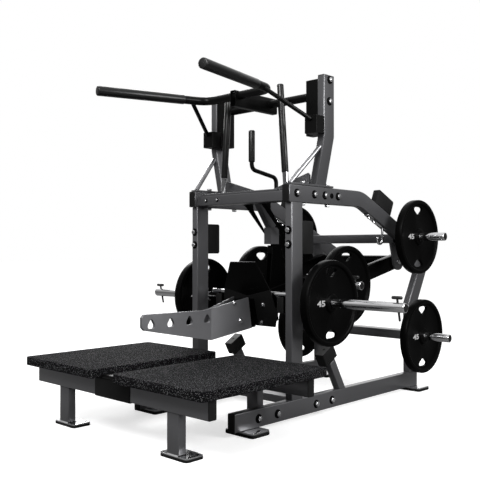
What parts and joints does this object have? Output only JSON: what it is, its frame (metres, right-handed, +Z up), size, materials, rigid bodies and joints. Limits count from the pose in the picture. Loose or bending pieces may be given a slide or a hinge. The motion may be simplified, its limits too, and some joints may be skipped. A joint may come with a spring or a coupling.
{
  "type": "belt squat machine",
  "caption": "Plate loaded belt squat machine: pivoting arm with horns and belt plates in a tube frame, overhead handles, start lever and two standing decks.",
  "frame": {"origin": "on the floor under the middle of the machine's length and width", "axes": "+X to the right as seen from the user's side, +Y from the decks to the pivot end, +Z up"},
  "size_m": [1.846, 2.3368, 1.8155],
  "materials": {
    "grey_paint": "satin",
    "black_paint": "satin",
    "chrome": "polished",
    "rubber": "matte",
    "deck_rubber": "speckled matte",
    "bright_steel": "satin",
    "weight_plate": "satin"
  },
  "bodies": {
    "frame": {"left_base_rail": "grey_paint", "right_base_rail": "grey_paint", "left_front_upright": "grey_paint", "right_front_upright": "grey_paint", "left_top_tube": "grey_paint", "right_top_tube": "grey_paint", "left_rear_upright": "grey_paint", "right_rear_upright": "grey_paint", "front_crossbar": "grey_paint", "rear_upper_crossbar": "grey_paint", "rear_lower_crossbar": "grey_paint", "base_crossmember": "grey_paint", "vee_crossmember": "grey_paint", "left_handle_post": "grey_paint", "right_handle_post": "grey_paint", "front_platform_beam": "grey_paint", "left_rear_platform_beam": "grey_paint", "right_rear_platform_beam": "grey_paint", "overhead_handle_bar": "black_paint", "handle_spine": "black_paint", "left_handle_bracket": "black_paint", "right_handle_bracket": "black_paint", "left_belt_hook": "chrome", "right_belt_hook": "chrome", "left_overhead_grip": "rubber", "right_overhead_grip": "rubber", "left_vertical_grip": "rubber", "right_vertical_grip": "rubber", "left_upright_stop": "rubber", "right_upright_stop": "rubber", "left_slope_stop": "rubber", "right_slope_stop": "rubber", "left_bumper": "rubber", "right_bumper": "rubber", "left_deck": "deck_rubber", "right_deck": "deck_rubber", "pivot_shaft": "bright_steel"},
    "arm": {"arm_rails": "black_paint", "arm_cross_tube": "black_paint", "arm_spine": "black_paint", "arm_yoke": "black_paint", "front_horn_bar": "chrome", "rear_horn_bar": "chrome", "left_belt_plate": "grey_paint", "right_belt_plate": "grey_paint"},
    "start_lever": {"start_lever": "black_paint", "lever_grip": "rubber", "catch_box": "grey_paint"},
    "left_front_arm_plate": {"left_front_arm_plate": "weight_plate"},
    "left_rear_arm_plate": {"left_rear_arm_plate": "weight_plate"},
    "left_upper_storage_plate": {"left_upper_storage_plate": "weight_plate"},
    "left_lower_storage_plate": {"left_lower_storage_plate": "weight_plate"},
    "right_front_arm_plate": {"right_front_arm_plate": "weight_plate"},
    "right_rear_arm_plate": {"right_rear_arm_plate": "weight_plate"},
    "right_upper_storage_plate": {"right_upper_storage_plate": "weight_plate"},
    "right_lower_storage_plate": {"right_lower_storage_plate": "weight_plate"},
    "left_front_horn_pin": {"left_front_horn_pin": "chrome"},
    "right_front_horn_pin": {"right_front_horn_pin": "chrome"},
    "left_rear_horn_pin": {"left_rear_horn_pin": "chrome"},
    "right_rear_horn_pin": {"right_rear_horn_pin": "chrome"}
  },
  "joints": [
    {"name": "arm_hinge", "type": "hinge", "parent": "frame", "child": "arm", "pos_m": [0, 0.86556, 0.808], "axis": [1, 0, 0], "range_deg": [-1, 16]},
    {"name": "lever_hinge", "type": "hinge", "parent": "frame", "child": "start_lever", "pos_m": [0, -0.09944, 1.16], "axis": [1, 0, 0], "range_deg": [-8, 3]},
    {"name": "left_front_arm_plate_slide", "type": "slide", "parent": "arm", "child": "left_front_arm_plate", "axis": [-1, 0, 0], "range_m": [0, 0.34]},
    {"name": "left_rear_arm_plate_slide", "type": "slide", "parent": "arm", "child": "left_rear_arm_plate", "axis": [-1, 0, 0], "range_m": [0, 0.015]},
    {"name": "left_upper_storage_plate_slide", "type": "slide", "parent": "frame", "child": "left_upper_storage_plate", "axis": [-1, 0, 0], "range_m": [0, 0.16]},
    {"name": "left_lower_storage_plate_slide", "type": "slide", "parent": "frame", "child": "left_lower_storage_plate", "axis": [-1, 0, 0], "range_m": [0, 0.16]},
    {"name": "right_front_arm_plate_slide", "type": "slide", "parent": "arm", "child": "right_front_arm_plate", "axis": [1, 0, 0], "range_m": [0, 0.34]},
    {"name": "right_rear_arm_plate_slide", "type": "slide", "parent": "arm", "child": "right_rear_arm_plate", "axis": [1, 0, 0], "range_m": [0, 0.015]},
    {"name": "right_upper_storage_plate_slide", "type": "slide", "parent": "frame", "child": "right_upper_storage_plate", "axis": [1, 0, 0], "range_m": [0, 0.16]},
    {"name": "right_lower_storage_plate_slide", "type": "slide", "parent": "frame", "child": "right_lower_storage_plate", "axis": [1, 0, 0], "range_m": [0, 0.16]},
    {"name": "left_front_horn_pin_slide", "type": "slide", "parent": "arm", "child": "left_front_horn_pin", "axis": [0, -0.2115, 0.9774], "range_m": [0, 0.085]},
    {"name": "right_front_horn_pin_slide", "type": "slide", "parent": "arm", "child": "right_front_horn_pin", "axis": [0, -0.2115, 0.9774], "range_m": [0, 0.085]},
    {"name": "left_rear_horn_pin_slide", "type": "slide", "parent": "arm", "child": "left_rear_horn_pin", "axis": [0, -0.2115, 0.9774], "range_m": [0, 0.085]},
    {"name": "right_rear_horn_pin_slide", "type": "slide", "parent": "arm", "child": "right_rear_horn_pin", "axis": [0, -0.2115, 0.9774], "range_m": [0, 0.085]}
  ]
}
